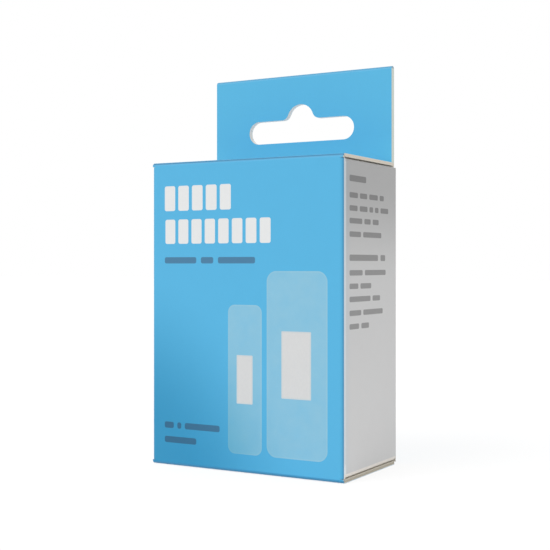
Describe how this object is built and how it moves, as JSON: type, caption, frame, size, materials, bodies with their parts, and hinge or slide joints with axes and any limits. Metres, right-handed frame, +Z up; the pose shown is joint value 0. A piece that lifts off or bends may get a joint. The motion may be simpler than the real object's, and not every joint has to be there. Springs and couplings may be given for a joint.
{
  "type": "hanging folding carton",
  "caption": "Printed boxboard carton for wrapped plasters, with tuck-in lids at both ends and a folded hang tab with a euro slot.",
  "frame": {"origin": "middle of the base, on the surface that the carton stands on", "axes": "+X along the front from the left panel to the right, +Y from the front panel to the back panel, +Z up to the hang tab"},
  "size_m": [0.055, 0.031, 0.1025],
  "materials": {
    "printed_board": "satin print on white boxboard",
    "wrapper": "matt paper"
  },
  "bodies": {
    "carton": {"carton_body": "printed_board", "large_plaster_1": "wrapper", "large_plaster_2": "wrapper", "large_plaster_3": "wrapper", "large_plaster_4": "wrapper", "large_plaster_5": "wrapper", "large_plaster_6": "wrapper", "large_plaster_7": "wrapper", "large_plaster_8": "wrapper", "large_plaster_9": "wrapper", "large_plaster_10": "wrapper", "small_plaster_1": "wrapper", "small_plaster_2": "wrapper", "small_plaster_3": "wrapper", "small_plaster_4": "wrapper", "small_plaster_5": "wrapper", "small_plaster_6": "wrapper", "small_plaster_7": "wrapper", "small_plaster_8": "wrapper", "small_plaster_9": "wrapper", "small_plaster_10": "wrapper"},
    "top_lid": {"top_lid": "printed_board"},
    "top_tuck_flap": {"top_tuck_flap": "printed_board"},
    "bottom_lid": {"bottom_lid": "printed_board"},
    "bottom_tuck_flap": {"bottom_tuck_flap": "printed_board"}
  },
  "joints": [
    {"name": "top_lid_fold", "type": "hinge", "parent": "carton", "child": "top_lid", "pos_m": [0, -0.01524, 0.07724], "axis": [1, 0, 0], "range_deg": [0, 135]},
    {"name": "top_tuck_fold", "type": "hinge", "parent": "top_lid", "child": "top_tuck_flap", "pos_m": [0, 0.01314, 0.07724], "axis": [1, 0, 0], "range_deg": [0, 13.5]},
    {"name": "bottom_lid_fold", "type": "hinge", "parent": "carton", "child": "bottom_lid", "pos_m": [0, -0.01524, 0.00026], "axis": [-1, 0, 0], "range_deg": [0, 135]},
    {"name": "bottom_tuck_fold", "type": "hinge", "parent": "bottom_lid", "child": "bottom_tuck_flap", "pos_m": [0, 0.01394, 0.00026], "axis": [-1, 0, 0], "range_deg": [0, 13.5]}
  ],
  "couplings": [
    {"joint": "top_tuck_fold", "follows": "top_lid_fold", "ratio": 0.1},
    {"joint": "bottom_tuck_fold", "follows": "bottom_lid_fold", "ratio": 0.1}
  ]
}
